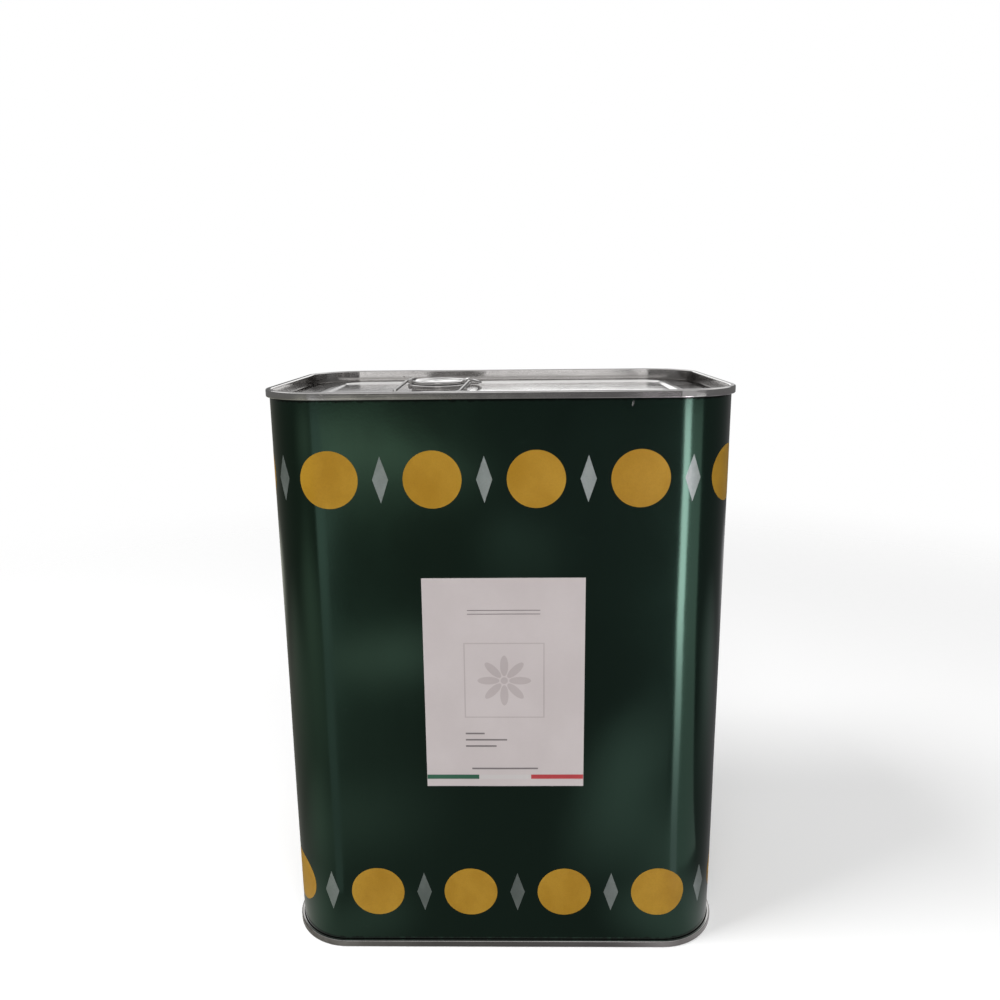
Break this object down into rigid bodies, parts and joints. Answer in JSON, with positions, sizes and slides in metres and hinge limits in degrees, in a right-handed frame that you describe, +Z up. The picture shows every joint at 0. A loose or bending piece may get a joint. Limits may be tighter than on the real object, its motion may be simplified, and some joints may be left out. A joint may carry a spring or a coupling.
{
  "type": "olive oil tin",
  "caption": "Rectangular lacquered oil tin with double-seamed ends, a paper label and a pull-up pouring spout with a screw cap and wire bails.",
  "frame": {"origin": "on the floor under the middle of the tin", "axes": "+Z up, +X to the tin's right seen from the label, +Y from the label to the back"},
  "size_m": [0.193, 0.1224, 0.2483],
  "materials": {
    "green_lacquer": "dark green transparent lacquer on tinplate, glossy",
    "tinplate": "bare tinplate, bright with fine rolling marks",
    "bright_wire": "bright tinned steel wire",
    "black_plastic": "moulded polyethylene, satin black",
    "white_plastic": "moulded polyethylene, natural white",
    "seal_rubber": "soft grey sealing rubber",
    "label_paper": "satin coated white paper",
    "yellow_print": "ochre yellow ink under varnish",
    "silver_print": "bare plate showing through the print, under varnish"
  },
  "bodies": {
    "tin": {"body_wall": "green_lacquer", "top_end": "tinplate", "bottom_end": "tinplate", "top_seam_compound": "seal_rubber", "bottom_seam_compound": "seal_rubber", "front_label": "label_paper", "spout_gasket": "seal_rubber", "spout_bush": "black_plastic", "crimp_ring": "tinplate"},
    "spout": {"spout_tube": "white_plastic", "spout_seal": "seal_rubber"},
    "liner": {"cap_liner": "white_plastic"},
    "cap": {"cap_insert": "black_plastic", "cap_shell": "tinplate", "left_ear": "tinplate", "right_ear": "tinplate"},
    "front_bail": {"front_bail": "bright_wire"},
    "rear_bail": {"rear_bail": "bright_wire"}
  },
  "joints": [
    {"name": "spout_pull", "type": "slide", "parent": "tin", "child": "spout", "axis": [0, 0, 1], "range_m": [0, 0.0149]},
    {"name": "cap_lift", "type": "slide", "parent": "spout", "child": "liner", "axis": [0, 0, 1], "range_m": [0, 0.0122]},
    {"name": "cap_turn", "type": "hinge", "parent": "liner", "child": "cap", "pos_m": [-0.0285, 0.005, 0.243], "axis": [0, 0, 1], "range_deg": [0, 1440]},
    {"name": "front_bail_fold", "type": "hinge", "parent": "cap", "child": "front_bail", "pos_m": [-0.02891, 0.00243, 0.2472], "axis": [-0.9877, 0.1564, 0], "range_deg": [0, 97]},
    {"name": "rear_bail_fold", "type": "hinge", "parent": "cap", "child": "rear_bail", "pos_m": [-0.02809, 0.00757, 0.2472], "axis": [0.9877, -0.1564, 0], "range_deg": [0, 97]}
  ],
  "couplings": [
    {"joint": "cap_lift", "follows": "cap_turn", "m_per_rad": 0.00047746}
  ]
}
